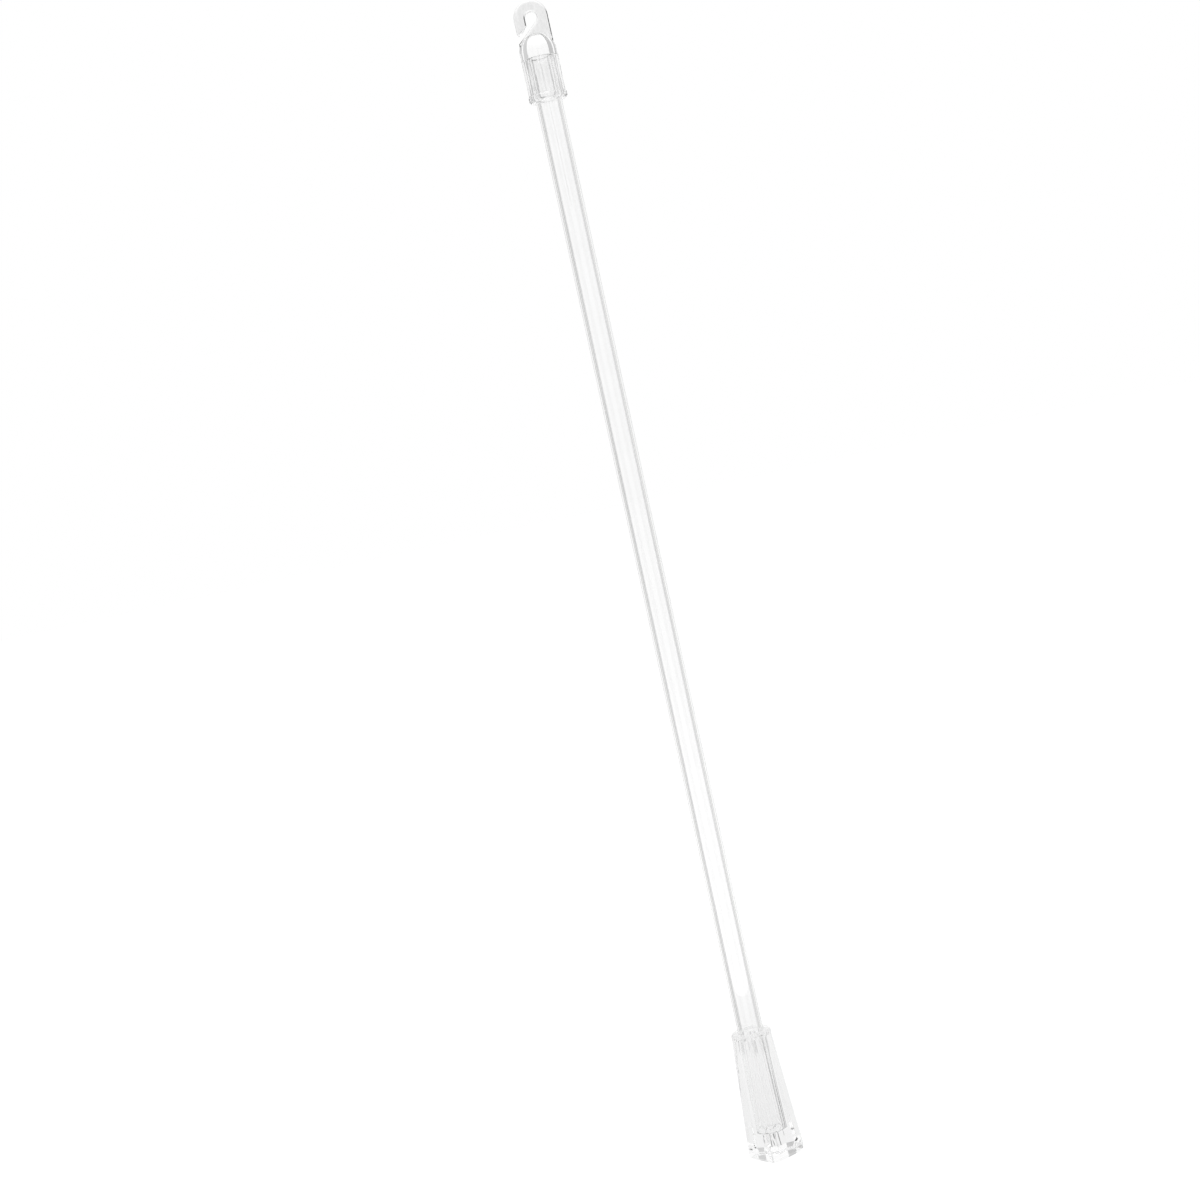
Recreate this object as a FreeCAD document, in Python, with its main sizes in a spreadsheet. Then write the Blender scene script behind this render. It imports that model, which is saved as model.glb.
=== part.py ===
# A clear plastic curtain wand: a round tube with a hooked cap on top and a tapered handle below.
# Millimetres, +Z up. The origin is the centre of the hook's eye, and the eye's axis lies along Y.
import FreeCAD, Part
import math
import os

import Sketcher

# Driving sizes, in millimetres and degrees.
SIZES = {
    "tube_diameter": 8.0,
    "tube_bore": 5.6,
    "tube_length": 338.0,
    "socket_clearance": 0.05,
    "socket_lead_in": 0.3,
    "eye_diameter": 3.6,
    "hook_bar": 3.4,
    "hook_thickness": 3.0,
    "hook_edge_round": 0.5,
    "hook_tip_round": 0.6,
    "mouth_width": 1.3,
    "mouth_slope": 42.0,
    "cap_drop": 25.2,
    "cap_shoulder_drop": 10.4,
    "cap_wall": 1.65,
    "cap_socket_depth": 13.2,
    "cap_rim_height": 2.0,
    "cap_rim_proud": 0.25,
    "cap_rim_bevel": 0.6,
    "handle_length": 40.4,
    "handle_socket_depth": 32.0,
    "handle_flat_wall": 0.6,
    "handle_corner_wall": 2.12,
    "handle_foot_flats": 14.6,
    "handle_foot_corners": 17.25,
    "handle_foot_bevel": 1.2,
    "handle_edge_round": 0.25,
    "handle_turn": 38.5,
    "collar_height": 1.5,
    "collar_proud": 0.1,
    "collar_bevel": 0.5,
}

# Sizes that follow from the driving ones, as expressions on the sheet.
SOCKET_RADIUS = "(Sizes.tube_diameter / 2 + Sizes.socket_clearance)"
EYE_RADIUS = "(Sizes.eye_diameter / 2)"
HOOK_RADIUS = f"({EYE_RADIUS} + Sizes.hook_bar)"
CAP_RADIUS = f"({SOCKET_RADIUS} + Sizes.cap_wall)"
TUBE_TOP = "(Sizes.cap_socket_depth - Sizes.cap_drop)"
HANDLE_TOP = f"({TUBE_TOP} - Sizes.tube_length + Sizes.handle_socket_depth)"
TOP_FLATS = f"(2 * ({SOCKET_RADIUS} + Sizes.handle_flat_wall))"
TOP_CORNERS = f"(2 * ({SOCKET_RADIUS} + Sizes.handle_corner_wall))"
BEVEL_DROP = "(Sizes.handle_length - Sizes.handle_foot_bevel)"
BEVEL_FLATS = "(Sizes.handle_foot_flats - 2 * Sizes.handle_foot_bevel)"
BEVEL_CORNERS = "(Sizes.handle_foot_corners - 2 * Sizes.handle_foot_bevel)"

# Sketcher's numbers for the origin, the two axes and the named points of a line or an arc.
ORIGIN = (-1, 1)
HORIZONTAL_AXIS, VERTICAL_AXIS = range(-1, -3, -1)
START, END, CENTRE = range(1, 4)
SMALL = 1e-6

doc = FreeCAD.newDocument("curtain_wand")
sheet = doc.addObject("Spreadsheet::Sheet", "Sizes")
for row, (alias, number) in enumerate(SIZES.items(), start=1):
    sheet.set(f"A{row}", alias)
    sheet.set(f"B{row}", str(number))
    sheet.setAlias(f"B{row}", alias)
doc.recompute()


def value(expression):
    """The present number of an expression on the sheet."""
    return float(sheet.evalExpression(expression))


def new_body(name):
    """An empty body whose label names its file."""
    body = doc.addObject("PartDesign::Body", name)
    body.Label = name
    return body


def new_sketch(body, name, plane, drop=None):
    """A sketch on one of the body's own planes, moved down its normal by an expression."""
    sketch = body.newObject("Sketcher::SketchObject", name)
    support = next(item for item in body.Origin.OriginFeatures if item.Role == plane)
    sketch.AttachmentSupport = [(support, "")]
    sketch.MapMode = "FlatFace"
    if drop:
        sketch.setExpression("AttachmentOffset.Base.z", f"-({drop})")
    return sketch


def line(start, end):
    return Part.LineSegment(FreeCAD.Vector(*start, 0), FreeCAD.Vector(*end, 0))


def arc(centre, radius, start_degrees, end_degrees):
    circle = Part.Circle(FreeCAD.Vector(*centre, 0), FreeCAD.Vector(0, 0, 1), radius)
    return Part.ArcOfCircle(circle, math.radians(start_degrees), math.radians(end_degrees))


def relate(sketch, kind, *places):
    """Add a constraint without a size."""
    sketch.addConstraint(Sketcher.Constraint(kind, *places))


def drive(sketch, kind, *places, by):
    """Add a dimension that follows an expression on the sheet."""
    index = sketch.addConstraint(Sketcher.Constraint(kind, *places, value(by)))
    sketch.setExpression(f"Constraints[{index}]", by)


def draw_closed(sketch, pieces, smooth_after=()):
    """Draw an outline anticlockwise. Each piece ends where the next starts, smoothly where listed."""
    sketch.addGeometry(pieces, False)
    for index in range(len(pieces)):
        following = (index + 1) % len(pieces)
        kind = "Tangent" if index in smooth_after else "Coincident"
        relate(sketch, kind, index, END, following, START)


def draw_circle(sketch, radius):
    """A circle about the sketch's origin."""
    index = sketch.addGeometry(
        Part.Circle(FreeCAD.Vector(), FreeCAD.Vector(0, 0, 1), value(radius)), False
    )
    relate(sketch, "Coincident", index, CENTRE, *ORIGIN)
    drive(sketch, "Radius", index, by=radius)


def revolve(body, name, sketch):
    """Turn a half section about the body's own Z axis."""
    feature = body.newObject("PartDesign::Revolution", name)
    feature.Profile = sketch
    feature.ReferenceAxis = (sketch, ["V_Axis"])
    feature.Angle = 360
    doc.recompute()
    return feature


def cut_socket(body, name, drop, depth, upward):
    """Cut the round socket that takes the tube's end, with a lead-in at its mouth."""
    before = body.Shape.Volume
    sketch = new_sketch(body, f"{name}_outline", "XY_Plane", drop)
    draw_circle(sketch, SOCKET_RADIUS)
    pocket = body.newObject("PartDesign::Pocket", name)
    pocket.Profile = sketch
    pocket.Reversed = upward
    pocket.setExpression("Length", depth)
    doc.recompute()
    expected = math.pi * value(SOCKET_RADIUS) ** 2 * value(depth)
    if abs(before - body.Shape.Volume - expected) > expected / 1000:
        raise RuntimeError(f"{name} did not cut its full depth")
    mouth_height = -value(drop) if drop else 0.0
    soften(
        body,
        "PartDesign::Chamfer",
        f"{name}_lead_in",
        "Sizes.socket_lead_in",
        lambda edge: lies_on_ring(edge, mouth_height, value(SOCKET_RADIUS)),
    )


def lies_on_ring(edge, height, radius):
    """True for an edge whose ends are at this height and this far from the Z axis."""
    return all(
        abs(end.Z - height) < SMALL and abs(math.hypot(end.X, end.Y) - radius) < SMALL
        for end in edge.Vertexes
    )


def soften(body, kind, name, size, wanted):
    """Round or bevel the edges of the body so far that the wanted test picks out."""
    base = body.Tip
    edges = [f"Edge{n}" for n, edge in enumerate(base.Shape.Edges, start=1) if wanted(edge)]
    if not edges:
        raise RuntimeError(f"{name} found no edges")
    feature = body.newObject(kind, name)
    feature.Base = (base, edges)
    size_property = "Radius" if kind.endswith("Fillet") else "Size"
    feature.setExpression(size_property, size)
    doc.recompute()
    return feature


def make_tube():
    """The straight tube, cut square. Its top end seats on the floor of the cap's socket."""
    body = new_body("tube")
    section = new_sketch(body, "tube_section", "XY_Plane")
    draw_circle(section, "(Sizes.tube_diameter / 2)")
    draw_circle(section, "(Sizes.tube_bore / 2)")
    wall = body.newObject("PartDesign::Pad", "tube_wall")
    wall.Profile = section
    wall.Reversed = True
    wall.setExpression("Length", "Sizes.tube_length")
    body.setExpression("Placement.Base.z", TUBE_TOP)
    doc.recompute()
    return body


def draw_hook_blank(sketch):
    """The hook's plate before it is cut: straight sides under a half-round top."""
    radius = value(HOOK_RADIUS)
    bottom = -value("Sizes.cap_shoulder_drop")
    pieces = [
        line((radius, bottom), (radius, 0)),
        arc((0, 0), radius, 0, 180),
        line((-radius, 0), (-radius, bottom)),
        line((-radius, bottom), (radius, bottom)),
    ]
    draw_closed(sketch, pieces, smooth_after=(0, 1))
    relate(sketch, "Coincident", 1, CENTRE, *ORIGIN)
    relate(sketch, "Vertical", 0)
    relate(sketch, "Horizontal", 3)
    drive(sketch, "Radius", 1, by=HOOK_RADIUS)
    drive(sketch, "DistanceY", 3, START, *ORIGIN, by="Sizes.cap_shoulder_drop")


def draw_eye_and_mouth(sketch):
    """The round eye, and the sloping mouth that leads out of it to the hook's -X side."""
    radius = value(EYE_RADIUS)
    slope = math.radians(value("Sizes.mouth_slope"))
    upper_offset = radius - value("Sizes.mouth_width")
    outside = -value(HOOK_RADIUS) - value("Sizes.hook_bar")

    def on_slope(across, offset):
        return (across, (across * math.sin(slope) - offset) / math.cos(slope))

    lower_touch = (radius * math.sin(slope), -radius * math.cos(slope))
    tip_inside = on_slope(-radius, upper_offset)
    tip_beyond = on_slope(outside, upper_offset)
    base_beyond = on_slope(outside, radius)
    pieces = [
        arc((0, 0), radius, math.degrees(slope) - 90, 180),
        line((-radius, 0), tip_inside),
        line(tip_inside, tip_beyond),
        line(tip_beyond, base_beyond),
        line(base_beyond, lower_touch),
    ]
    draw_closed(sketch, pieces, smooth_after=(0, 4))
    relate(sketch, "Coincident", 0, CENTRE, *ORIGIN)
    relate(sketch, "Vertical", 1)
    relate(sketch, "Vertical", 3)
    relate(sketch, "Parallel", 2, 4)
    drive(sketch, "Radius", 0, by=EYE_RADIUS)
    drive(sketch, "Distance", 1, END, 4, by="Sizes.mouth_width")
    drive(sketch, "DistanceX", 3, START, *ORIGIN, by=f"({HOOK_RADIUS} + Sizes.hook_bar)")
    angle = sketch.addConstraint(Sketcher.Constraint("Angle", 4, slope))
    sketch.setExpression(f"Constraints[{angle}]", "Sizes.mouth_slope * 1 deg")


def draw_cap_section(sketch):
    """Half of the cap's solid form: bevelled rim at the mouth, straight wall and domed shoulder."""
    radius = value(CAP_RADIUS)
    rim_radius = f"({CAP_RADIUS} + Sizes.cap_rim_proud)"
    rim_x = value(rim_radius)
    bevel = value("Sizes.cap_rim_bevel")
    proud = value("Sizes.cap_rim_proud")
    mouth = -value("Sizes.cap_drop")
    rim_top = mouth + value("Sizes.cap_rim_height")
    shoulder = -value("Sizes.cap_shoulder_drop")
    pieces = [
        line((0, mouth), (rim_x - bevel, mouth)),
        line((rim_x - bevel, mouth), (rim_x, mouth + bevel)),
        line((rim_x, mouth + bevel), (rim_x, rim_top - proud)),
        line((rim_x, rim_top - proud), (radius, rim_top)),
        line((radius, rim_top), (radius, shoulder)),
        arc((0, shoulder), radius, 0, 90),
        line((0, shoulder + radius), (0, mouth)),
    ]
    draw_closed(sketch, pieces, smooth_after=(4,))
    relate(sketch, "Horizontal", 0)
    relate(sketch, "Vertical", 2)
    relate(sketch, "Vertical", 4)
    relate(sketch, "PointOnObject", 0, START, VERTICAL_AXIS)
    relate(sketch, "PointOnObject", 5, END, VERTICAL_AXIS)
    relate(sketch, "PointOnObject", 5, CENTRE, VERTICAL_AXIS)
    drive(sketch, "DistanceX", 1, START, 1, END, by="Sizes.cap_rim_bevel")
    drive(sketch, "DistanceY", 1, START, 1, END, by="Sizes.cap_rim_bevel")
    drive(sketch, "DistanceX", *ORIGIN, 2, END, by=rim_radius)
    drive(sketch, "DistanceX", *ORIGIN, 4, END, by=CAP_RADIUS)
    drive(sketch, "DistanceY", 0, START, *ORIGIN, by="Sizes.cap_drop")
    drive(sketch, "DistanceY", 0, START, 3, END, by="Sizes.cap_rim_height")
    drive(sketch, "DistanceY", 3, START, 3, END, by="Sizes.cap_rim_proud")
    drive(sketch, "DistanceY", 5, CENTRE, *ORIGIN, by="Sizes.cap_shoulder_drop")


def make_hook_cap():
    """One moulding: the open hook, and under it the domed cap that holds the tube."""
    body = new_body("hook_cap")
    blank_outline = new_sketch(body, "hook_blank_outline", "XZ_Plane")
    draw_hook_blank(blank_outline)
    blank = body.newObject("PartDesign::Pad", "hook_blank")
    blank.Profile = blank_outline
    blank.Midplane = True
    blank.setExpression("Length", "Sizes.hook_thickness")
    doc.recompute()

    solid_plate = body.Shape.Volume
    eye_outline = new_sketch(body, "eye_and_mouth_outline", "XZ_Plane")
    draw_eye_and_mouth(eye_outline)
    eye = body.newObject("PartDesign::Pocket", "eye_and_mouth")
    eye.Profile = eye_outline
    eye.Midplane = True
    eye.setExpression("Length", "Sizes.hook_thickness * 2")
    doc.recompute()
    eye_area = math.pi * value(EYE_RADIUS) ** 2
    if solid_plate - body.Shape.Volume < eye_area * value("Sizes.hook_thickness"):
        raise RuntimeError("the eye did not cut through the hook")

    half_thickness = value("Sizes.hook_thickness") / 2
    bottom = -value("Sizes.cap_shoulder_drop")

    def is_mouth_corner(edge):
        return (
            isinstance(edge.Curve, Part.Line)
            and abs(abs(edge.tangentAt(edge.FirstParameter).y) - 1) < SMALL
            and edge.CenterOfMass.x < 0
            and bottom + SMALL < edge.CenterOfMass.z < -SMALL
        )

    def is_plate_edge(edge):
        centre = edge.CenterOfMass
        return abs(abs(centre.y) - half_thickness) < SMALL and centre.z > bottom + SMALL

    soften(body, "PartDesign::Fillet", "hook_tip", "Sizes.hook_tip_round", is_mouth_corner)
    soften(body, "PartDesign::Fillet", "hook_edges", "Sizes.hook_edge_round", is_plate_edge)

    cap_section = new_sketch(body, "cap_section", "XZ_Plane")
    draw_cap_section(cap_section)
    revolve(body, "cap", cap_section)
    cut_socket(body, "cap_socket", "Sizes.cap_drop", "Sizes.cap_socket_depth", True)
    return body


def draw_chamfered_square(sketch, flats, corners):
    """A square with cut corners, from its width across the flats and across the cut corners."""
    flat = f"(sqrt(2) * {corners} - {flats})"
    side = value(flats) / 2
    half = value(flat) / 2
    quarter = [(side, -half), (side, half)]
    points = []
    for turn in range(4):
        for x, y in quarter:
            for step in range(turn):
                x, y = -y, x
            points.append((x, y))
    draw_closed(sketch, [line(points[n], points[(n + 1) % 8]) for n in range(8)])
    for upright in (0, 4):
        relate(sketch, "Symmetric", upright, START, upright, END, HORIZONTAL_AXIS)
    for level in (2, 6):
        relate(sketch, "Symmetric", level, START, level, END, VERTICAL_AXIS)
    for index in (2, 4, 6):
        relate(sketch, "Equal", 0, index)
    drive(sketch, "DistanceX", *ORIGIN, 0, START, by=f"{flats} / 2")
    drive(sketch, "DistanceY", *ORIGIN, 2, START, by=f"{flats} / 2")
    drive(sketch, "DistanceX", 4, START, *ORIGIN, by=f"{flats} / 2")
    drive(sketch, "DistanceY", 6, START, *ORIGIN, by=f"{flats} / 2")
    drive(sketch, "DistanceY", 0, START, 0, END, by=flat)


def draw_collar_section(sketch):
    """Half of the round collar on top of the handle, with a bevelled upper edge."""
    flat = f"(sqrt(2) * {TOP_CORNERS} - {TOP_FLATS})"
    grip_reach = f"(sqrt({TOP_FLATS}^2 + {flat}^2) / 2)"
    collar_radius = f"({grip_reach} + Sizes.collar_proud)"
    side = value(collar_radius)
    bottom = -value("Sizes.collar_height")
    bevel = value("Sizes.collar_bevel")
    pieces = [
        line((0, bottom), (side, bottom)),
        line((side, bottom), (side, -bevel)),
        line((side, -bevel), (side - bevel, 0)),
        line((side - bevel, 0), (0, 0)),
        line((0, 0), (0, bottom)),
    ]
    draw_closed(sketch, pieces)
    relate(sketch, "Horizontal", 0)
    relate(sketch, "Vertical", 1)
    relate(sketch, "Horizontal", 3)
    relate(sketch, "Coincident", 4, START, *ORIGIN)
    relate(sketch, "PointOnObject", 0, START, VERTICAL_AXIS)
    drive(sketch, "DistanceX", 2, END, 2, START, by="Sizes.collar_bevel")
    drive(sketch, "DistanceY", 2, START, 2, END, by="Sizes.collar_bevel")
    drive(sketch, "DistanceX", *ORIGIN, 1, START, by=collar_radius)
    drive(sketch, "DistanceY", 0, START, *ORIGIN, by="Sizes.collar_height")


def make_handle():
    """One moulding: a square grip with cut corners that widens to its foot, under a round collar."""
    body = new_body("handle")
    top_outline = new_sketch(body, "grip_top", "XY_Plane", "Sizes.collar_height / 2")
    draw_chamfered_square(top_outline, TOP_FLATS, TOP_CORNERS)
    foot_outline = new_sketch(body, "grip_foot", "XY_Plane", BEVEL_DROP)
    draw_chamfered_square(foot_outline, "Sizes.handle_foot_flats", "Sizes.handle_foot_corners")
    bevel_outline = new_sketch(body, "grip_bevel", "XY_Plane", "Sizes.handle_length")
    draw_chamfered_square(bevel_outline, BEVEL_FLATS, BEVEL_CORNERS)
    grip = body.newObject("PartDesign::AdditiveLoft", "grip")
    grip.Profile = top_outline
    grip.Sections = [foot_outline, bevel_outline]
    grip.Ruled = True
    doc.recompute()

    length = value("Sizes.handle_length")
    soften(
        body,
        "PartDesign::Fillet",
        "grip_edges",
        "Sizes.handle_edge_round",
        lambda edge: edge.BoundBox.ZLength > length / 2,
    )
    collar_section = new_sketch(body, "collar_section", "XZ_Plane")
    draw_collar_section(collar_section)
    revolve(body, "collar", collar_section)
    cut_socket(body, "handle_socket", None, "Sizes.handle_socket_depth", False)

    body.Placement = FreeCAD.Placement(
        FreeCAD.Vector(0, 0, value(HANDLE_TOP)),
        FreeCAD.Rotation(FreeCAD.Vector(0, 0, 1), value("Sizes.handle_turn")),
    )
    body.setExpression("Placement.Base.z", HANDLE_TOP)
    body.setExpression("Placement.Rotation.Angle", "Sizes.handle_turn * 1 deg")
    doc.recompute()
    return body


def check(bodies):
    """Stop before anything is written if an object failed or a shape is not one sound solid."""
    failed = [item.Name for item in doc.Objects if {"Invalid", "Error"} & set(item.State)]
    if failed:
        raise RuntimeError(f"failed objects: {failed}")
    for body in bodies:
        shape = body.Shape
        if shape.isNull() or not shape.isValid() or len(shape.Solids) != 1:
            raise RuntimeError(f"{body.Label} is not one sound solid")


wand = [make_tube(), make_hook_cap(), make_handle()]
check(wand)
os.makedirs("parts", exist_ok=True)
for piece in wand:
    piece.Shape.exportStep(f"parts/{piece.Label}.step")
    box = piece.Shape.BoundBox
    print(f"{piece.Label}: {piece.Shape.Volume:.1f} mm3, z {box.ZMin:.2f} to {box.ZMax:.2f}")
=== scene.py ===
# %% [markdown]
# # A clear plastic curtain wand
# The wand is three clear pieces that fit into each other: a long round tube, a moulded cap with an open hook on
# top, and a moulded square grip at the foot. Everything is in metres, in the frame of the imported solids, where
# the origin is the centre of the hook's eye and +Z runs up the tube.
#
# The first cell loads the imported solids and gives a helper that reads the box of each.

import math

import bmesh
import bpy
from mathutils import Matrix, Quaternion, Vector


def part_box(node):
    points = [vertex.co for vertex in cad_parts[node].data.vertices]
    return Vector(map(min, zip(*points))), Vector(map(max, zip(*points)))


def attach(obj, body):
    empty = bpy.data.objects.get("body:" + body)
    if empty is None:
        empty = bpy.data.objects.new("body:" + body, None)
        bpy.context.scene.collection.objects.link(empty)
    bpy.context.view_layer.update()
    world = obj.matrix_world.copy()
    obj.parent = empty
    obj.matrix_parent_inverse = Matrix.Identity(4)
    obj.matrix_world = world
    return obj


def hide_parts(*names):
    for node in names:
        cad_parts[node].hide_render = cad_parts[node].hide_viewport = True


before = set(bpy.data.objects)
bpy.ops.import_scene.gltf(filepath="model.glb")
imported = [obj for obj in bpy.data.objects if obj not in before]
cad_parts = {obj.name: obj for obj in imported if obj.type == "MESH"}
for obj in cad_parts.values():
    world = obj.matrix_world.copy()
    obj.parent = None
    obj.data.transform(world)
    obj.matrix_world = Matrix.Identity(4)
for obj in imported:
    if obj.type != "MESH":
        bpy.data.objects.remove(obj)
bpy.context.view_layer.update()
MM = 0.001

# %% [markdown]
# ## Measures
# A new mesh has to sit exactly where its solid sits, so the heights and radii that a box can give are read from
# the frame. Sizes inside a piece, such as a socket's depth, can't be read from a box and are written down in
# millimetres, beside the step that uses them. Two sizes serve every piece: the play of the tube in its sockets,
# and the distance, in metres, under which two points of a mesh become one.

# %% Read the heights and radii
SOCKET_CLEARANCE = 0.05
WELD = 1e-7

tube_low, tube_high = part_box("tube")
cap_low, cap_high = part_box("hook_cap")
grip_low, grip_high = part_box("handle")

TUBE_RADIUS = tube_high.x / MM
TUBE_TOP, TUBE_FOOT = tube_high.z / MM, tube_low.z / MM
CAP_MOUTH = cap_low.z / MM
HOOK_RADIUS = cap_high.z / MM
GRIP_TOP, GRIP_FOOT = grip_high.z / MM, grip_low.z / MM
SOCKET_RADIUS = TUBE_RADIUS + SOCKET_CLEARANCE
print(f"tube {TUBE_RADIUS * 2:.2f} mm across, grip {GRIP_TOP - GRIP_FOOT:.1f} mm long")

# %% [markdown]
# ## Node helpers
# Both the shapes and the finishes below are node trees. Adding a node, setting it and wiring its inputs is the
# same work each time, so one helper does it: an input that is a socket is linked, any other value is set. A Mix
# node has inputs of the same name for each kind of data, so those are told apart by number.

# %% Add nodes and sockets
MIX_FLOAT_A, MIX_FLOAT_B, MIX_FLOAT_OUT = 2, 3, 0
MIX_COLOUR_A, MIX_COLOUR_B, MIX_COLOUR_OUT = 6, 7, 2


def add_node(tree, kind, inputs=None, **settings):
    node = tree.nodes.new(kind)
    for name, setting in settings.items():
        setattr(node, name, setting)
    for socket, source in (inputs or {}).items():
        if isinstance(source, bpy.types.NodeSocket):
            tree.links.new(source, node.inputs[socket])
        else:
            node.inputs[socket].default_value = source
    return node


def new_socket(tree, name, direction, kind, value=None):
    socket = tree.interface.new_socket(name, in_out=direction, socket_type=kind)
    if value is not None:
        socket.default_value = value


def axis_distance(tree):
    """The distance of a shaded point from the object's Z axis."""
    place = add_node(tree, "ShaderNodeTexCoord")
    flat = add_node(tree, "ShaderNodeVectorMath", {0: place.outputs["Object"], 1: (1.0, 1.0, 0.0)},
                    operation="MULTIPLY")
    return add_node(tree, "ShaderNodeVectorMath", {0: flat.outputs[0]}, operation="LENGTH").outputs["Value"]


# %% [markdown]
# ## Finish: marks of making
# Clear plastic is never quite even. The tube is drawn through a die, which leaves faint lines along it, and the
# two mouldings keep soft flow lines where the plastic ran into the mould. Both are low ripples that a clear
# piece shows as wavering light. A noise texture that is stretched along Z gives them. It could be drawn once in
# each material, but one node group with named inputs keeps the three finishes alike and easy to compare.

# %% Ripple group
RIPPLE_DETAIL = 2.0


def make_ripple_group():
    tree = bpy.data.node_groups.new("making_ripples", "ShaderNodeTree")
    for name in ("Across", "Along", "Waver"):
        new_socket(tree, name, "INPUT", "NodeSocketFloat")
    new_socket(tree, "Height", "OUTPUT", "NodeSocketFloat")
    sizes = tree.nodes.new("NodeGroupInput")
    place = add_node(tree, "ShaderNodeTexCoord")
    scale = add_node(
        tree,
        "ShaderNodeCombineXYZ",
        {"X": sizes.outputs["Across"], "Y": sizes.outputs["Across"], "Z": sizes.outputs["Along"]},
    )
    stretched = add_node(tree, "ShaderNodeVectorMath", {0: place.outputs["Object"], 1: scale.outputs[0]},
                         operation="MULTIPLY")
    noise = add_node(
        tree,
        "ShaderNodeTexNoise",
        {"Vector": stretched.outputs[0], "Scale": 1.0, "Detail": RIPPLE_DETAIL,
         "Distortion": sizes.outputs["Waver"]},
    )
    out = tree.nodes.new("NodeGroupOutput")
    tree.links.new(noise.outputs[0], out.inputs["Height"])
    return tree


ripple_group = make_ripple_group()
print("group", ripple_group.name)

# %% [markdown]
# ## Finish: handling
# A wand is held and pulled every day. Fingers leave a thin haze and a few fine scuffs, which are a little
# rougher and a little greyer than the polished plastic round them. A second group gives both from one mask, so
# that the tint and the roughness change in the same places.

# %% Handling group
PATCHES_PER_METRE = 120.0
PATCH_DETAIL = 4.0
HAZE_STARTS, HAZE_FULL = 0.4, 0.75
POLISH = 0.01


def make_handling_group():
    tree = bpy.data.node_groups.new("handling_haze", "ShaderNodeTree")
    new_socket(tree, "Patch size", "INPUT", "NodeSocketFloat", PATCHES_PER_METRE)
    new_socket(tree, "Clean", "INPUT", "NodeSocketColor")
    new_socket(tree, "Hazed", "INPUT", "NodeSocketColor")
    new_socket(tree, "Polish", "INPUT", "NodeSocketFloat", POLISH)
    new_socket(tree, "Dull", "INPUT", "NodeSocketFloat")
    new_socket(tree, "Color", "OUTPUT", "NodeSocketColor")
    new_socket(tree, "Roughness", "OUTPUT", "NodeSocketFloat")
    sizes = tree.nodes.new("NodeGroupInput")
    place = add_node(tree, "ShaderNodeTexCoord")
    patches = add_node(
        tree,
        "ShaderNodeTexNoise",
        {"Vector": place.outputs["Object"], "Scale": sizes.outputs["Patch size"], "Detail": PATCH_DETAIL},
    )
    mask = add_node(tree, "ShaderNodeMapRange",
                    {"Value": patches.outputs[0], "From Min": HAZE_STARTS, "From Max": HAZE_FULL})
    tint = add_node(
        tree,
        "ShaderNodeMix",
        {"Factor": mask.outputs[0], MIX_COLOUR_A: sizes.outputs["Clean"], MIX_COLOUR_B: sizes.outputs["Hazed"]},
        data_type="RGBA",
    )
    gloss = add_node(
        tree,
        "ShaderNodeMapRange",
        {"Value": mask.outputs[0], "To Min": sizes.outputs["Polish"], "To Max": sizes.outputs["Dull"]},
    )
    out = tree.nodes.new("NodeGroupOutput")
    tree.links.new(tint.outputs[MIX_COLOUR_OUT], out.inputs["Color"])
    tree.links.new(gloss.outputs[0], out.inputs["Roughness"])
    return tree


handling_group = make_handling_group()
print("group", handling_group.name)

# %% [markdown]
# ## Finish: sockets
# The outside of a moulding copies a polished mould, but a deep socket is formed by a core pin that is pulled out
# along it, and the tube is then pushed in. That leaves the socket's wall dull, with streaks along Z. It could be
# a second material on those faces, but a mask made from the distance to the wand's axis keeps the moulding one
# piece with one finish.

# %% Socket group
STREAK_SCALE = (900.0, 900.0, 25.0)
STREAK_DETAIL = 3.0
STREAK_STARTS, STREAK_FULL = 0.35, 0.65


def make_socket_group():
    tree = bpy.data.node_groups.new("socket_streaks", "ShaderNodeTree")
    for name in ("Polished", "Socket radius", "Least dull", "Most dull"):
        new_socket(tree, name, "INPUT", "NodeSocketFloat")
    new_socket(tree, "Roughness", "OUTPUT", "NodeSocketFloat")
    sizes = tree.nodes.new("NodeGroupInput")
    inside = add_node(tree, "ShaderNodeMath", {0: axis_distance(tree), 1: sizes.outputs["Socket radius"]},
                      operation="LESS_THAN")
    place = add_node(tree, "ShaderNodeTexCoord")
    stretched = add_node(tree, "ShaderNodeVectorMath", {0: place.outputs["Object"], 1: STREAK_SCALE},
                         operation="MULTIPLY")
    streaks = add_node(tree, "ShaderNodeTexNoise",
                       {"Vector": stretched.outputs[0], "Scale": 1.0, "Detail": STREAK_DETAIL})
    dull = add_node(
        tree,
        "ShaderNodeMapRange",
        {"Value": streaks.outputs[0], "From Min": STREAK_STARTS, "From Max": STREAK_FULL,
         "To Min": sizes.outputs["Least dull"], "To Max": sizes.outputs["Most dull"]},
    )
    chosen = add_node(
        tree,
        "ShaderNodeMix",
        {"Factor": inside.outputs[0], MIX_FLOAT_A: sizes.outputs["Polished"], MIX_FLOAT_B: dull.outputs[0]},
        data_type="FLOAT",
    )
    out = tree.nodes.new("NodeGroupOutput")
    tree.links.new(chosen.outputs[MIX_FLOAT_OUT], out.inputs["Roughness"])
    return tree


socket_group = make_socket_group()
print("group", socket_group.name)

# %% [markdown]
# ## The three clear finishes
# A clear plastic is a Principled BSDF with full transmission. Its index of refraction says how far it bends
# light: about 1.49 for the acrylic tube and a little more for the mouldings. The three groups feed the colour,
# the roughness and a weak bump, and all that is the same over the whole surface is set on the shader itself.

# %% Make the clear materials
SOCKET_MARGIN = 0.1


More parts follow.
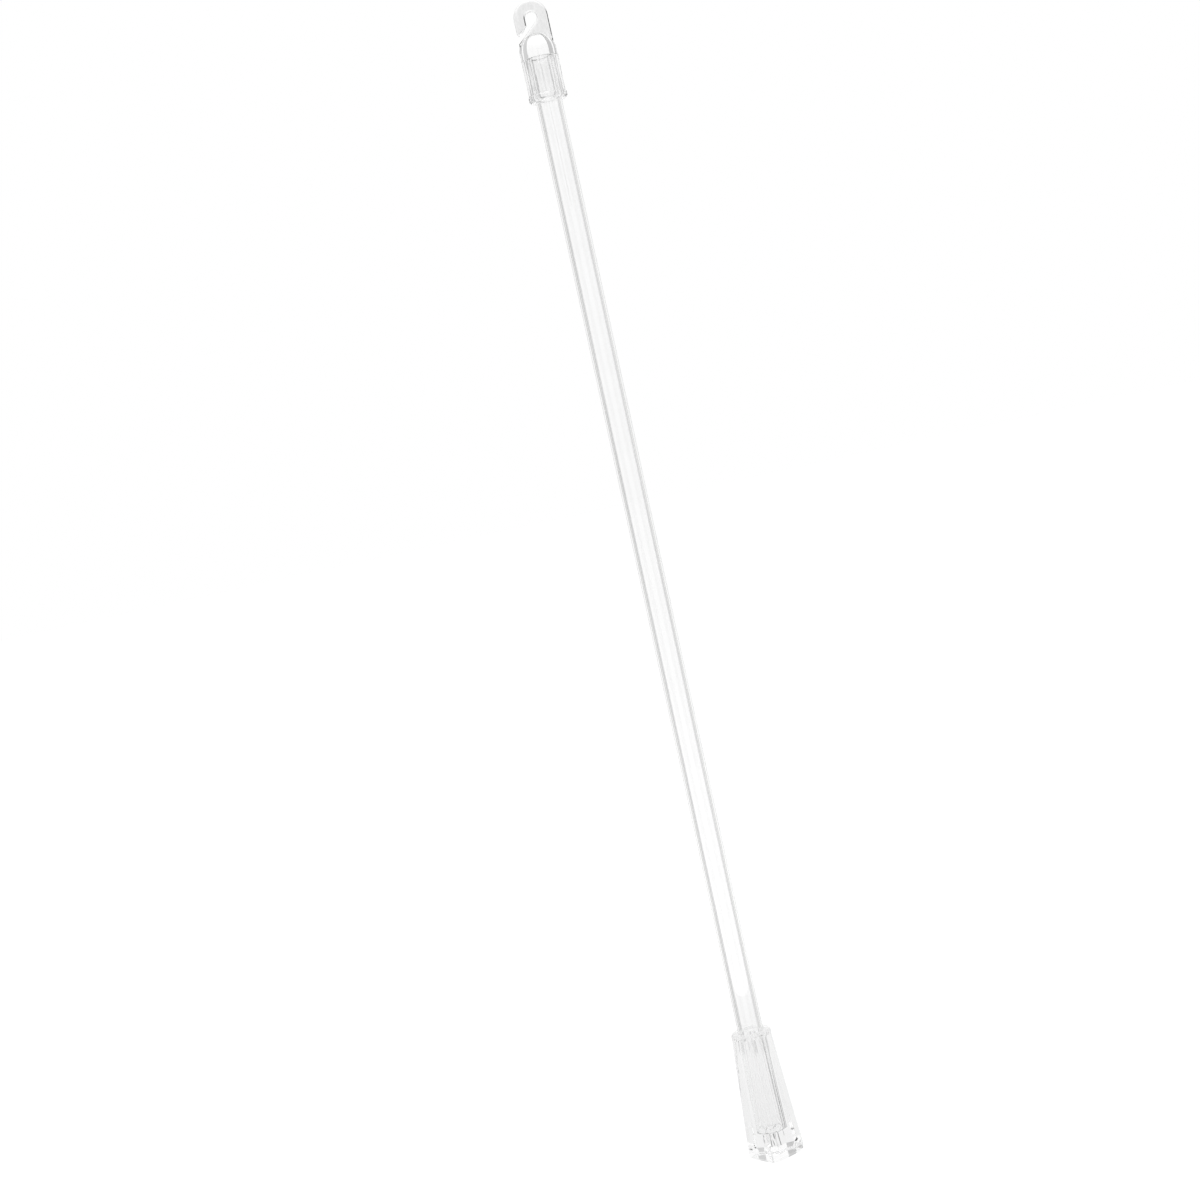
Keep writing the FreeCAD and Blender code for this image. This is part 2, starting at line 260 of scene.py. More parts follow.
def clear_plastic(name, index, clean, hazed, dull, across, along, waver, bump, socket=None):
    """A clear finish: two greys, the roughness of haze, ripples with a height in mm, and a socket's dullness."""
    material = bpy.data.materials.new(name)
    material.use_nodes = True
    tree = material.node_tree
    shader = tree.nodes["Principled BSDF"]
    handling = add_node(
        tree,
        "ShaderNodeGroup",
        {"Clean": (clean, clean, clean, 1.0), "Hazed": (hazed, hazed, hazed, 1.0), "Dull": dull},
        node_tree=handling_group,
    )
    ripples = add_node(
        tree,
        "ShaderNodeGroup",
        {"Across": across, "Along": along, "Waver": waver},
        node_tree=ripple_group,
    )
    relief = add_node(
        tree,
        "ShaderNodeBump",
        {"Height": ripples.outputs["Height"], "Strength": 1.0, "Distance": bump * MM},
    )
    tree.links.new(handling.outputs["Color"], shader.inputs["Base Color"])
    roughness = handling.outputs["Roughness"]
    if socket:
        least, most = socket
        streaks = add_node(
            tree,
            "ShaderNodeGroup",
            {"Polished": roughness, "Socket radius": (SOCKET_RADIUS + SOCKET_MARGIN) * MM,
             "Least dull": least, "Most dull": most},
            node_tree=socket_group,
        )
        roughness = streaks.outputs["Roughness"]
    tree.links.new(roughness, shader.inputs["Roughness"])
    tree.links.new(relief.outputs["Normal"], shader.inputs["Normal"])
    shader.inputs["Metallic"].default_value = 0.0
    shader.inputs["Transmission Weight"].default_value = 1.0
    shader.inputs["IOR"].default_value = index
    return material


tube_plastic = clear_plastic(
    "drawn_clear_tube", index=1.49, clean=0.985, hazed=0.97, dull=0.03,
    across=900.0, along=6.0, waver=0.2, bump=0.01)
cap_plastic = clear_plastic(
    "moulded_clear_cap", index=1.54, clean=0.98, hazed=0.955, dull=0.04,
    across=500.0, along=120.0, waver=0.8, bump=0.06, socket=(0.02, 0.1))
grip_plastic = clear_plastic(
    "moulded_clear_grip", index=1.54, clean=0.992, hazed=0.975, dull=0.03,
    across=450.0, along=30.0, waver=0.8, bump=0.04, socket=(0.01, 0.04))
print("finishes", tube_plastic.name, cap_plastic.name, grip_plastic.name)

# %% [markdown]
# ## Turned forms
# The tube and the round cap are turned forms: a half section carried once round the Z axis. A screw modifier or
# a spin would do it, but here the rule is written out as Geometry Nodes. A grid has one row for each point of
# the section and one column for each step of the turn. Every grid point looks up its section point by its index
# and moves to that radius and height at its own angle. Merging then closes the seam and the poles.

# %% Geometry Nodes tree that turns a half section
def make_turning_tree():
    tree = bpy.data.node_groups.new("turned_from_half_section", "GeometryNodeTree")
    new_socket(tree, "Half section", "INPUT", "NodeSocketGeometry")
    new_socket(tree, "Sides", "INPUT", "NodeSocketInt")
    new_socket(tree, "Finish", "INPUT", "NodeSocketMaterial")
    new_socket(tree, "Turned", "OUTPUT", "NodeSocketGeometry")
    source = tree.nodes.new("NodeGroupInput")
    section, sides = source.outputs["Half section"], source.outputs["Sides"]

    def math_node(operation, first, second=0.0):
        return add_node(tree, "ShaderNodeMath", {0: first, 1: second}, operation=operation).outputs[0]

    points = add_node(tree, "GeometryNodeAttributeDomainSize", {"Geometry": section}).outputs["Point Count"]
    columns = math_node("ADD", sides, 1.0)
    grid = add_node(tree, "GeometryNodeMeshGrid", {"Vertices X": points, "Vertices Y": columns})
    index = add_node(tree, "GeometryNodeInputIndex").outputs[0]
    row = math_node("FLOOR", math_node("DIVIDE", index, columns))
    step = math_node("MODULO", index, columns)
    place = add_node(tree, "GeometryNodeInputPosition").outputs[0]
    looked_up = add_node(
        tree,
        "GeometryNodeSampleIndex",
        {"Geometry": section, "Value": place, "Index": row},
        data_type="FLOAT_VECTOR",
    )
    split = add_node(tree, "ShaderNodeSeparateXYZ", {0: looked_up.outputs[0]})
    angle = math_node("DIVIDE", math_node("MULTIPLY", step, math.tau), sides)
    turned_place = add_node(
        tree,
        "ShaderNodeCombineXYZ",
        {
            "X": math_node("MULTIPLY", split.outputs["X"], math_node("COSINE", angle)),
            "Y": math_node("MULTIPLY", split.outputs["X"], math_node("SINE", angle)),
            "Z": split.outputs["Z"],
        },
    )
    turned = add_node(tree, "GeometryNodeSetPosition",
                      {"Geometry": grid.outputs["Mesh"], "Position": turned_place.outputs[0]})
    merged = add_node(tree, "GeometryNodeMergeByDistance", {"Geometry": turned.outputs[0], "Distance": WELD})
    real = add_node(tree, "GeometryNodeRealizeInstances", {"Geometry": merged.outputs[0]})
    finished = add_node(tree, "GeometryNodeSetMaterial",
                        {"Geometry": real.outputs[0], "Material": source.outputs["Finish"]})
    out = tree.nodes.new("NodeGroupOutput")
    tree.links.new(finished.outputs[0], out.inputs["Turned"])
    return tree


turning_tree = make_turning_tree()
print("tree", turning_tree.name)

# %% [markdown]
# A modifier's inputs are set by the identifier of each socket, before the object is first evaluated. The result
# is then read back as a plain mesh and the modifier goes, so that the piece is an ordinary mesh from here on.

# %% Run the tree on a half section
TURN_SIDES = 192


def new_object(name, data):
    thing = bpy.data.objects.new(name, data)
    bpy.context.scene.collection.objects.link(thing)
    return thing


def keep_evaluated(piece):
    """Replace the piece's mesh by what its modifiers make of it, and remove them."""
    scene_graph = bpy.context.evaluated_depsgraph_get()
    mesh = bpy.data.meshes.new_from_object(piece.evaluated_get(scene_graph))
    piece.modifiers.clear()
    piece.data = mesh
    mesh.name = piece.name


def turn_section(name, points, finish):
    """A piece turned from (across, up) points in millimetres."""
    section = bpy.data.meshes.new(name + "_section")
    edges = [(n, n + 1) for n in range(len(points) - 1)]
    section.from_pydata([(across * MM, 0.0, up * MM) for across, up in points], edges, [])
    piece = new_object(name, section)
    modifier = piece.modifiers.new("turn", "NODES")
    modifier.node_group = turning_tree
    sockets = {item.name: item.identifier for item in turning_tree.interface.items_tree}
    modifier[sockets["Sides"]] = TURN_SIDES
    modifier[sockets["Finish"]] = finish
    keep_evaluated(piece)
    return piece


# %% [markdown]
# ## Soft corners
# No edge of a drawn or moulded piece is perfectly sharp, and on a clear piece the tiny rounding is what draws
# the edge: it bends light from the side into the eye as a fine line. A Bevel modifier could add it, but a half
# section is only a line, so its corners are rounded right there.

# %% Round the corners of a section
CORNER_STEPS = 4


def arc_between(centre, start, end, steps):
    """Points of the arc about a centre, from one spoke to another of the same length."""
    first, last = start.normalized(), end.normalized()
    return [centre + first.slerp(last, step / steps).normalized() * start.length for step in range(steps + 1)]


def soften(corners):
    """Points along (across, up, rounding) corners, with a short arc wherever a rounding is given."""
    points = [Vector(corners[0][:2])]
    for before, corner, after in zip(corners, corners[1:], corners[2:]):
        point, rounding = Vector(corner[:2]), corner[2]
        if not rounding:
            points.append(point)
            continue
        back = (Vector(before[:2]) - point).normalized()
        onward = (Vector(after[:2]) - point).normalized()
        half = back.angle(onward) / 2
        centre = point + (back + onward).normalized() * rounding / math.sin(half)
        start = point + back * rounding / math.tan(half) - centre
        end = point + onward * rounding / math.tan(half) - centre
        points += arc_between(centre, start, end, CORNER_STEPS)
    points.append(Vector(corners[-1][:2]))
    return points


# %% [markdown]
# Shading decides how a clear piece bends light, so curved faces are smooth, real corners stay sharp, and large
# faces rule the normals beside a narrow rounding. Faces are first turned outwards.

# %% Shade a finished piece
SHARP_ANGLE = math.radians(25.0)


def weld_and_face_out(work):
    bmesh.ops.remove_doubles(work, verts=work.verts, dist=WELD)
    bmesh.ops.recalc_face_normals(work, faces=work.faces)


def shade(piece):
    mesh = piece.data
    work = bmesh.new()
    work.from_mesh(mesh)
    weld_and_face_out(work)
    work.to_mesh(mesh)
    work.free()
    mesh.shade_smooth()
    mesh.set_sharp_from_angle(angle=SHARP_ANGLE)
    weigh = piece.modifiers.new("large faces rule", "WEIGHTED_NORMAL")
    weigh.keep_sharp = True
    keep_evaluated(piece)
    print(piece.name, len(piece.data.polygons), "faces")


def fit_to_solid(piece, node):
    """The piece stands in for its solid, which is hidden, and moves with the wand."""
    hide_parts(node)
    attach(piece, "root")


# %% [markdown]
# ## The tube
# The tube is drawn acrylic, cut square and lightly broken at its edges. Its ends stop a hair short of the
# sockets' floors: two clear faces in exactly the same place would confuse the ray tracer.

# %% Turn the tube
TUBE_BORE_RADIUS = 2.8
HAIR = 0.03
CUT_EDGE = 0.12

top, foot = TUBE_TOP - HAIR, TUBE_FOOT + HAIR
bore_middle = (TUBE_BORE_RADIUS, (top + foot) / 2, 0.0)
tube_points = soften([
    bore_middle,
    (TUBE_BORE_RADIUS, top, CUT_EDGE),
    (TUBE_RADIUS, top, CUT_EDGE),
    (TUBE_RADIUS, foot, CUT_EDGE),
    (TUBE_BORE_RADIUS, foot, CUT_EDGE),
    bore_middle,
])
tube = turn_section("clear_tube", tube_points, tube_plastic)
shade(tube)
fit_to_solid(tube, "tube")

# %% [markdown]
# ## The cap
# The cap is a thimble with a thick wall. Its half section runs from the middle of the socket's floor, down the
# wall to the bevelled rim at the mouth, and back up outside to a domed shoulder. A socket has the same three
# roundings here and in the grip: at its floor, where it starts to widen, and at its mouth.

# %% Turn the cap
SOCKET_FLOOR_ROUND, LEAD_IN_ROUND, SOCKET_MOUTH_ROUND = 0.25, 0.15, 0.1
LEAD_IN = 0.3
CAP_RADIUS = 5.7
RIM_RADIUS = 5.95
RIM_BEVEL = 0.6
RIM_HEIGHT = 2.0
RIM_FOOT_ROUND, RIM_SIDE_ROUND = 0.6, 0.8
SHOULDER = -10.4
DOME_STEPS = 36

rim_step = RIM_RADIUS - CAP_RADIUS
cap_points = soften([
    (0.0, TUBE_TOP, 0.0),
    (SOCKET_RADIUS, TUBE_TOP, SOCKET_FLOOR_ROUND),
    (SOCKET_RADIUS, CAP_MOUTH + LEAD_IN, LEAD_IN_ROUND),
    (SOCKET_RADIUS + LEAD_IN, CAP_MOUTH, SOCKET_MOUTH_ROUND),
    (RIM_RADIUS - RIM_BEVEL, CAP_MOUTH, RIM_FOOT_ROUND),
    (RIM_RADIUS, CAP_MOUTH + RIM_BEVEL, RIM_SIDE_ROUND),
    (RIM_RADIUS, CAP_MOUTH + RIM_HEIGHT - rim_step, RIM_SIDE_ROUND),
    (CAP_RADIUS, CAP_MOUTH + RIM_HEIGHT, RIM_SIDE_ROUND),
    (CAP_RADIUS, SHOULDER, 0.0),
])
for step in range(1, DOME_STEPS + 1):
    angle = math.pi / 2 * step / DOME_STEPS
    cap_points.append(Vector((CAP_RADIUS * math.cos(angle), SHOULDER + CAP_RADIUS * math.sin(angle))))
hook_cap = turn_section("hook_moulding", cap_points, cap_plastic)
print("cap", len(cap_points), "points in the section")

# %% [markdown]
# ## The hook
# The hook is a flat plate with rounded edges: a round eye, and a mouth that slopes down and out to the left, so
# that a ring slips in but doesn't fall out. Its outline is a chain of straight runs and arcs. Here each point
# of the chain also keeps its outward normal, because the rounded edge is made by stepping the outline inwards
# along those normals while the thickness grows.

# %% Draw the hook's outline
EYE_RADIUS = 1.8
MOUTH_WIDTH = 1.3
MOUTH_SLOPE = math.radians(42.0)
TIP_ROUND = 0.6
ARC_STEP = math.radians(4.0)


def on_slope(across, offset):
    """A point of the line that runs down to the left at the mouth's slope, this far under the eye's centre."""
    return Vector((across, (across * math.sin(MOUTH_SLOPE) - offset) / math.cos(MOUTH_SLOPE)))


def arc_run(centre, radius, start, end, outward=1.0):
    """Points and normals along an arc, from one angle to another."""
    steps = max(2, round(abs(end - start) / ARC_STEP))
    run = []
    for step in range(steps + 1):
        angle = start + (end - start) * step / steps
        normal = Vector((math.cos(angle), math.sin(angle)))
        run.append((Vector(centre) + normal * radius, normal * outward))
    return run


def round_corner(before, corner, after, radius):
    """Points and normals of a rounded outer corner of an outline that runs anticlockwise."""
    into = (corner - before).normalized()
    out_of = (after - corner).normalized()
    turn = into.angle_signed(out_of)
    normal = Vector((into.y, -into.x))
    centre = corner - into * radius * math.tan(abs(turn) / 2) - normal * radius
    start = math.atan2(normal.y, normal.x)
    return arc_run(centre, radius, start, start - turn)


tip_inner = on_slope(-EYE_RADIUS, EYE_RADIUS - MOUTH_WIDTH)
tip_outer = on_slope(-HOOK_RADIUS, EYE_RADIUS - MOUTH_WIDTH)
base_outer = on_slope(-HOOK_RADIUS, EYE_RADIUS)
base_inner = Vector((EYE_RADIUS * math.sin(MOUTH_SLOPE), -EYE_RADIUS * math.cos(MOUTH_SLOPE)))
side_foot = Vector((-HOOK_RADIUS, SHOULDER))
eye_side = Vector((-EYE_RADIUS, 0.0))

hook_outline = [(Vector((HOOK_RADIUS, SHOULDER)), Vector((1.0, -1.0)))]
hook_outline += arc_run((0.0, 0.0), HOOK_RADIUS, 0.0, math.pi)
hook_outline += round_corner(Vector((-HOOK_RADIUS, 0.0)), tip_outer, tip_inner, TIP_ROUND)
hook_outline += round_corner(tip_outer, tip_inner, eye_side, TIP_ROUND)
hook_outline += arc_run((0.0, 0.0), EYE_RADIUS, math.pi, MOUTH_SLOPE - math.pi / 2, outward=-1.0)
hook_outline += round_corner(base_inner, base_outer, side_foot, TIP_ROUND)
hook_outline += [(side_foot, Vector((-1.0, -1.0)))]
print("hook outline", len(hook_outline), "points")

# %% [markdown]
# The plate is built ring by ring across its thickness and closed by one large face on each side. It is then
# joined to the cap with a Boolean, because the two are one moulding and clear plastic shows any wall that is
# left inside.

# %% Build the plate and join it to the cap
HOOK_THICKNESS = 3.0
EDGE_ROUND = 0.5
EDGE_STEPS = 6


def skin_rings(work, rings):
    """Faces between neighbouring closed rings of vertices, and one face over each end."""
    for first, second in zip(rings, rings[1:]):
        for n, vertex in enumerate(first):
            after = (n + 1) % len(first)
            work.faces.new((vertex, first[after], second[after], second[n]))
    work.faces.new(reversed(rings[0]))
    work.faces.new(rings[-1])


def mesh_from(work, name, finish):
    """A mesh with one finish, from a bmesh that is then freed."""
    mesh = bpy.data.meshes.new(name)
    work.to_mesh(mesh)
    work.free()
    mesh.materials.append(finish)
    return mesh


half_plate = HOOK_THICKNESS / 2
edge_angles = [math.pi / 2 * step / EDGE_STEPS for step in range(EDGE_STEPS + 1)]
near_rings = [(EDGE_ROUND * (1 - math.sin(angle)), EDGE_ROUND * (1 - math.cos(angle)) - half_plate)
              for angle in edge_angles]
far_rings = [(inset, -depth) for inset, depth in reversed(near_rings)]

plate = bmesh.new()
plate_rings = []
for inset, depth in near_rings + far_rings:
    ring = []
    for point, normal in hook_outline:
        place = point - normal * inset
        ring.append(plate.verts.new((place.x * MM, depth * MM, place.y * MM)))
    plate_rings.append(ring)
skin_rings(plate, plate_rings)
weld_and_face_out(plate)
plate_piece = new_object("hook_plate", mesh_from(plate, "hook_plate", cap_plastic))

join = hook_cap.modifiers.new("one moulding", "BOOLEAN")
join.operation = "UNION"
join.solver = "EXACT"
join.object = plate_piece
keep_evaluated(hook_cap)
bpy.data.objects.remove(plate_piece)
shade(hook_cap)
fit_to_solid(hook_cap, "hook_cap")

# %% [markdown]
# ## The grip
# The grip is a square bar with cut corners that widens to its foot. It has a round collar on top, a round socket
# for the tube and a bevelled foot. Round and square meet in one skin, so it is built as a grid: the columns
# follow the outline of the square, and the rows run from the middle of the socket's floor, up its wall, over
# the collar, down the outside and in to the middle of the foot.

# %% The grip's outline at any height
GRIP_TURN = math.radians(38.5)
COLLAR_HEIGHT = 1.5
TOP_FLATS, TOP_CORNERS = 4.65, 6.17
FOOT_FLATS, FOOT_CORNERS = 7.3, 8.625
FOOT_BEVEL = 1.2
LONG_EDGE_ROUND = 0.25
EDGE_POINTS, FLAT_POINTS = 5, 23

grip_length = GRIP_TOP - GRIP_FOOT


def grip_outline(flats, corners, rounding):
    """Points round a square with cut corners, from its distances to the flats and to the cut corners."""
    half_flat = math.sqrt(2) * corners - flats
    vertices = []
    for quarter in range(4):
        angle = math.pi / 2 * quarter
        for side in (-half_flat, half_flat):
            vertices.append(Vector((flats * math.cos(angle) - side * math.sin(angle),
                                    flats * math.sin(angle) + side * math.cos(angle))))
    half_turn = math.pi / len(vertices)
    reach = rounding * math.tan(half_turn)
    points = []
    for n, vertex in enumerate(vertices):
        following = vertices[(n + 1) % len(vertices)]
        before = (vertices[n - 1] - vertex).normalized()
        after = (following - vertex).normalized()
        centre = vertex + (before + after).normalized() * rounding / math.cos(half_turn)
        start, end = vertex + before * reach, vertex + after * reach
        points += arc_between(centre, start - centre, end - centre, EDGE_POINTS - 1)
        onward = following - after * reach
        points += [end.lerp(onward, (step + 1) / (FLAT_POINTS + 1)) for step in range(FLAT_POINTS)]
    return points


def grip_ring(depth, inset):
    """The outline at a depth under the grip's top, stepped in from the outer faces."""
    share = min(1.0, (depth - COLLAR_HEIGHT / 2) / (grip_length - FOOT_BEVEL - COLLAR_HEIGHT / 2))
    flats = TOP_FLATS + (FOOT_FLATS - TOP_FLATS) * share - inset
    corners = TOP_CORNERS + (FOOT_CORNERS - TOP_CORNERS) * share - inset
    return grip_outline(flats, corners, LONG_EDGE_ROUND)


directions = [point.normalized() for point in grip_ring(COLLAR_HEIGHT / 2, 0.0)]
print("grip", len(directions), "columns")

# %% [markdown]
# The round rows come from a half section, just as the tube's and the cap's do, and the square rows from the
# outline above, stepped in at the bevel of the foot. The last row lies in the flat of the foot, a little way in,
# and one face closes it.

# %% Build the grip
SOCKET_DEPTH = 32.0
COLLAR_RADIUS = 6.28
COLLAR_BEVEL = 0.5
COLLAR_ROUND = 0.5
BEVEL_ROUND = 0.3
FOOT_MARGIN = 1.0
SIDE_ROWS = 10

inner_points = soften([
    (0.0, -SOCKET_DEPTH, 0.0),
    (SOCKET_RADIUS, -SOCKET_DEPTH, SOCKET_FLOOR_ROUND),
    (SOCKET_RADIUS, -LEAD_IN, LEAD_IN_ROUND),
    (SOCKET_RADIUS + LEAD_IN, 0.0, SOCKET_MOUTH_ROUND),
    (COLLAR_RADIUS - COLLAR_BEVEL, 0.0, COLLAR_ROUND),
    (COLLAR_RADIUS, -COLLAR_BEVEL, COLLAR_ROUND),
    (COLLAR_RADIUS, -COLLAR_HEIGHT, 0.0),
])[1:]
foot_points = soften([
    (0.0, COLLAR_HEIGHT, 0.0),
    (0.0, grip_length - FOOT_BEVEL, BEVEL_ROUND),
    (FOOT_BEVEL, grip_length, BEVEL_ROUND),
    (FOOT_BEVEL + FOOT_MARGIN, grip_length, 0.0),
])[1:]

side_end = foot_points[0].y
side_depths = [COLLAR_HEIGHT + (side_end - COLLAR_HEIGHT) * step / SIDE_ROWS for step in range(SIDE_ROWS)]
rows = [(up, [direction * across for direction in directions]) for across, up in inner_points]
rows += [(-depth, grip_ring(depth, 0.0)) for depth in side_depths]
rows += [(-depth, grip_ring(depth, inset)) for inset, depth in foot_points]

turn = Quaternion((0.0, 0.0, 1.0), GRIP_TURN)
skin = bmesh.new()
skin_rings(skin, [
    [skin.verts.new(turn @ Vector((point.x, point.y, GRIP_TOP + height)) * MM) for point in row]
    for height, row in rows
])
grip = new_object("grip_moulding", mesh_from(skin, "grip_moulding", grip_plastic))
shade(grip)
fit_to_solid(grip, "handle")

# %% [markdown]
# ## Studio
# A photographer shows clear plastic on a bright field: white behind it, and grey cards beside it, out of the
# picture. The clear middle then passes the white, and the edges, which bend light from the sides, turn grey.
# The world is white for the camera and for glass, and softer as a light on the floor.

# %% Bright field
WHITE = (1.0, 1.0, 1.0, 1.0)
SOFT_LIGHT = 0.92


def shown_rays(tree):
    """1 for a ray that makes a picture: seen by the camera, mirrored or passed by a clear piece."""
    path = add_node(tree, "ShaderNodeLightPath")
    seen = add_node(tree, "ShaderNodeMath",
                    {0: path.outputs["Is Camera Ray"], 1: path.outputs["Is Glossy Ray"]}, operation="MAXIMUM")
    return add_node(tree, "ShaderNodeMath",
                    {0: seen.outputs[0], 1: path.outputs["Is Transmission Ray"]},
                    operation="MAXIMUM").outputs[0]


world = bpy.data.worlds.new("bright_field")
bpy.context.scene.world = world
world.use_nodes = True
tree = world.node_tree
tree.nodes.clear()
level = add_node(tree, "ShaderNodeMapRange", {"Value": shown_rays(tree), "To Min": SOFT_LIGHT, "To Max": 1.0})
light = add_node(tree, "ShaderNodeBackground", {"Color": WHITE, "Strength": level.outputs[0]})
add_node(tree, "ShaderNodeOutputWorld", {"Surface": light.outputs[0]})
print("bright field", world.name)

# %% [markdown]
# The floor is pale and catches the wand's faint shadow. A little glow that only picture rays see lifts its lit
# part to the white of the field, so that no horizon shows.

# %% Floor
FLOOR_HEIGHT = -0.43
FLOOR_HALF = 8.0
FLOOR_COLOUR = (0.95, 0.95, 0.95, 1.0)
FLOOR_ROUGHNESS = 0.9
FLOOR_GLOW = 0.14


def stage_panel(name, corners, material):
    mesh = bpy.data.meshes.new(name)
    mesh.from_pydata(corners, [], [range(len(corners))])
    mesh.materials.append(material)
    panel = new_object(name, mesh)
    return panel


def lying_square(half, height):
    """Corners of a level square about the wand's axis."""
    return [(x * half, y * half, height) for x, y in ((-1, -1), (1, -1), (1, 1), (-1, 1))]


pale = bpy.data.materials.new("pale_floor")
pale.use_nodes = True
shader = pale.node_tree.nodes["Principled BSDF"]
shader.inputs["Base Color"].default_value = FLOOR_COLOUR
shader.inputs["Roughness"].default_value = FLOOR_ROUGHNESS
shader.inputs["Specular IOR Level"].default_value = 0.0
shader.inputs["Emission Color"].default_value = WHITE
glow = add_node(pale.node_tree, "ShaderNodeMath", {0: shown_rays(pale.node_tree), 1: FLOOR_GLOW},
                operation="MULTIPLY")
pale.node_tree.links.new(glow.outputs[0], shader.inputs["Emission Strength"])
stage_panel("floor", lying_square(FLOOR_HALF, FLOOR_HEIGHT), pale)

# %% [markdown]
# Clear plastic on a white field would all but vanish, so a photographer stands grey cards round it, just out of
# the picture. Only mirrored and passed rays meet them here, so they draw the edges of the clear pieces and stay
# out of the picture and off the floor. Tall slats stand in pairs, the same in each quarter, so that the wand
# reads as well from the sides and the back as from the front.

# %% Slats round the wand
SLAT_DISTANCE = 0.26
SLAT_HALF_WIDTH = 0.036
SLAT_TOP = 0.25
SLAT_GREYS = (0.62, 0.52, 0.62, 0.52)
SLAT_TURNS = (33.0, 57.0)


def grey_card(name, corners, level):
    """A card that only shows in and through the clear pieces."""
    material = bpy.data.materials.new(name)
    material.use_nodes = True
    tree = material.node_tree
    tree.nodes.clear()
    grey = add_node(tree, "ShaderNodeEmission", {"Strength": level})
    add_node(tree, "ShaderNodeOutputMaterial", {"Surface": grey.outputs[0]})
    card = stage_panel(name, corners, material)
    card.visible_camera = False
    card.visible_diffuse = False
    card.visible_shadow = False
    return card


low, high = Vector((0.0, 0.0, FLOOR_HEIGHT)), Vector((0.0, 0.0, SLAT_TOP))
for quarter, grey in enumerate(SLAT_GREYS):
    for degrees in SLAT_TURNS:
        angle = math.radians(90.0 * quarter + degrees)
        outward = Vector((math.cos(angle), math.sin(angle), 0.0))
        across = Vector((-outward.y, outward.x, 0.0)) * SLAT_HALF_WIDTH
        middle = outward * SLAT_DISTANCE
        grey_card(
            f"slat_{quarter}_{degrees:.0f}",
            [middle - across + low, middle + across + low, middle + across + high, middle - across + high],
            grey,
        )
print(len(SLAT_GREYS) * len(SLAT_TURNS), "slats")

# %% [markdown]
# A pale card lies under the wand and gives the grip its light grey. It fades to white at its rim, because a hard
# edge would show through the tube.

# %% Base card
CARD_LIFT = 0.002
BASE_HALF = 0.45
BASE_GREY = 0.87
FADE_STARTS = BASE_HALF / 4

base_card = grey_card("base_card", lying_square(BASE_HALF, FLOOR_HEIGHT + CARD_LIFT), BASE_GREY)
tree = base_card.active_material.node_tree
fade = add_node(
    tree,
    "ShaderNodeMapRange",
    {"Value": axis_distance(tree), "From Min": FADE_STARTS, "From Max": BASE_HALF,
     "To Min": BASE_GREY, "To Max": 1.0},
)
tree.links.new(fade.outputs[0], tree.nodes["Emission"].inputs["Strength"])

# %% [markdown]
# Light passes straight through the flat plate of the hook, which would leave it as white as the field. A pale
# card hangs behind the hook and gives it a light grey. It reaches down to the foot of the plate and no further,
# so that the tube stays clear.

# %% Pale card behind the hook
PALE = 0.9


def hanging_card(distance, left, right, bottom, top):
    """Corners of an upright card that faces along Y, at a distance behind the wand."""
    return [(left, distance, bottom), (right, distance, bottom), (right, distance, top), (left, distance, top)]


grey_card("pale_card", hanging_card(distance=0.102, left=-0.05, right=0.05, bottom=0.0095, top=0.05), PALE)

# %% [markdown]
# The dark accents come from four dark cards. One hangs behind the hook to the left and draws the black line
# along the edges that face right. Two lie on the floor behind the wand, where the flats and the cut corners of
# the grip look for them. The hood stands high and far behind the camera and shows as specks at the foot, where
# the grip turns light back to the camera.

# %% Dark cards
BLACK = 0.02
DARK = 0.3
FLAT_CARD = ((0.155, 12.0), (0.3, 12.0), (0.3, 30.0), (0.155, 30.0))
CORNER_CARD = ((0.15, 89.0), (0.2, 90.6), (0.15, 91.3))


def on_floor(places):
    """Corners just over the base card, each from its distance to the wand's axis and its angle in degrees."""
    turned = [(reach, math.radians(degrees)) for reach, degrees in places]
    height = FLOOR_HEIGHT + 2 * CARD_LIFT
    return [(reach * math.cos(turn), reach * math.sin(turn), height) for reach, turn in turned]


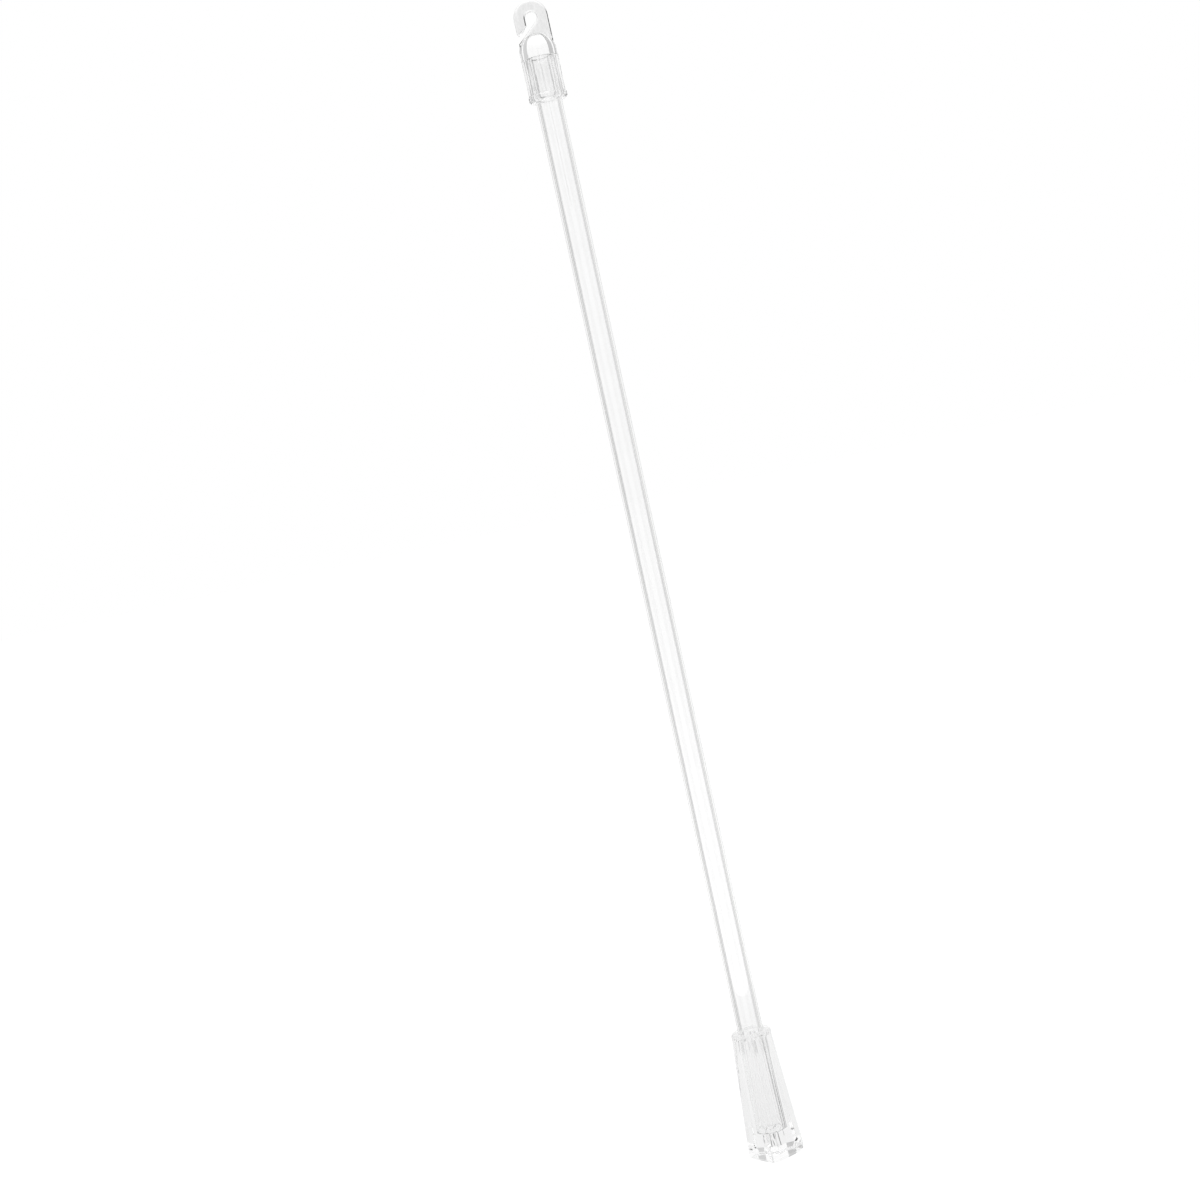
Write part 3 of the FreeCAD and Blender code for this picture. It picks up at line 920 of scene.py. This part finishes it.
grey_card("hook_card", hanging_card(distance=0.1, left=-0.075, right=-0.015, bottom=0.0125, top=0.031), BLACK)
grey_card("flat_card", on_floor(FLAT_CARD), DARK)
grey_card("corner_card", on_floor(CORNER_CARD), DARK)
grey_card("hood", hanging_card(distance=-2.0, left=-0.25, right=0.04, bottom=0.15, top=0.67), BLACK)

# %% [markdown]
# Light goes to and fro inside a clear moulding many times before it leaves. The ray tracer usually gives up
# early and leaves a black patch, so it is told to follow such light further. One soft lamp from above adds a
# little shape.

# %% Bounces and lamp
CLEAR_BOUNCES, MIRROR_BOUNCES = 32, 24
LAMP_POWER = 4.0
LAMP_SIZE = 1.2
LAMP_PLACE = (-0.3, -0.5, 1.2)
WAND_TO_LAMP = (-0.3, -0.5, 1.4)

tracer = bpy.context.scene.cycles
tracer.max_bounces = CLEAR_BOUNCES
tracer.glossy_bounces = MIRROR_BOUNCES
tracer.transmission_bounces = CLEAR_BOUNCES

lamp_data = bpy.data.lights.new("soft_top", "AREA")
lamp_data.energy = LAMP_POWER
lamp_data.size = LAMP_SIZE
lamp = new_object("soft_top", lamp_data)
lamp.location = LAMP_PLACE
lamp.rotation_euler = Vector(WAND_TO_LAMP).to_track_quat("Z", "Y").to_euler()
print("studio ready")

# %% [markdown]
# ## Camera
# The camera stands in front of the wand at about a third of its height from the top, looks a little down and is
# rolled, so that the wand leans with its hook to the left. The lens and the angles were fitted to four points of
# the photograph along the wand's axis.

# %% Camera
CAMERA_PLACE = (0.0, -0.67, -0.126)
YAW, PITCH, ROLL = (math.radians(angle) for angle in (-1.468, -4.291, -12.343))
LENS = 65.55
SENSOR_WIDTH = 36.0

camera_data = bpy.data.cameras.new("camera")
camera_data.lens = LENS
camera_data.sensor_width = SENSOR_WIDTH
camera = new_object("camera", camera_data)
camera.location = CAMERA_PLACE
aim = Vector((math.sin(YAW) * math.cos(PITCH), math.cos(YAW) * math.cos(PITCH), math.sin(PITCH)))
camera.rotation_euler = (aim.to_track_quat("-Z", "Y") @ Quaternion((0.0, 0.0, 1.0), ROLL)).to_euler()
bpy.context.scene.camera = camera
bpy.context.scene.view_settings.view_transform = "Standard"
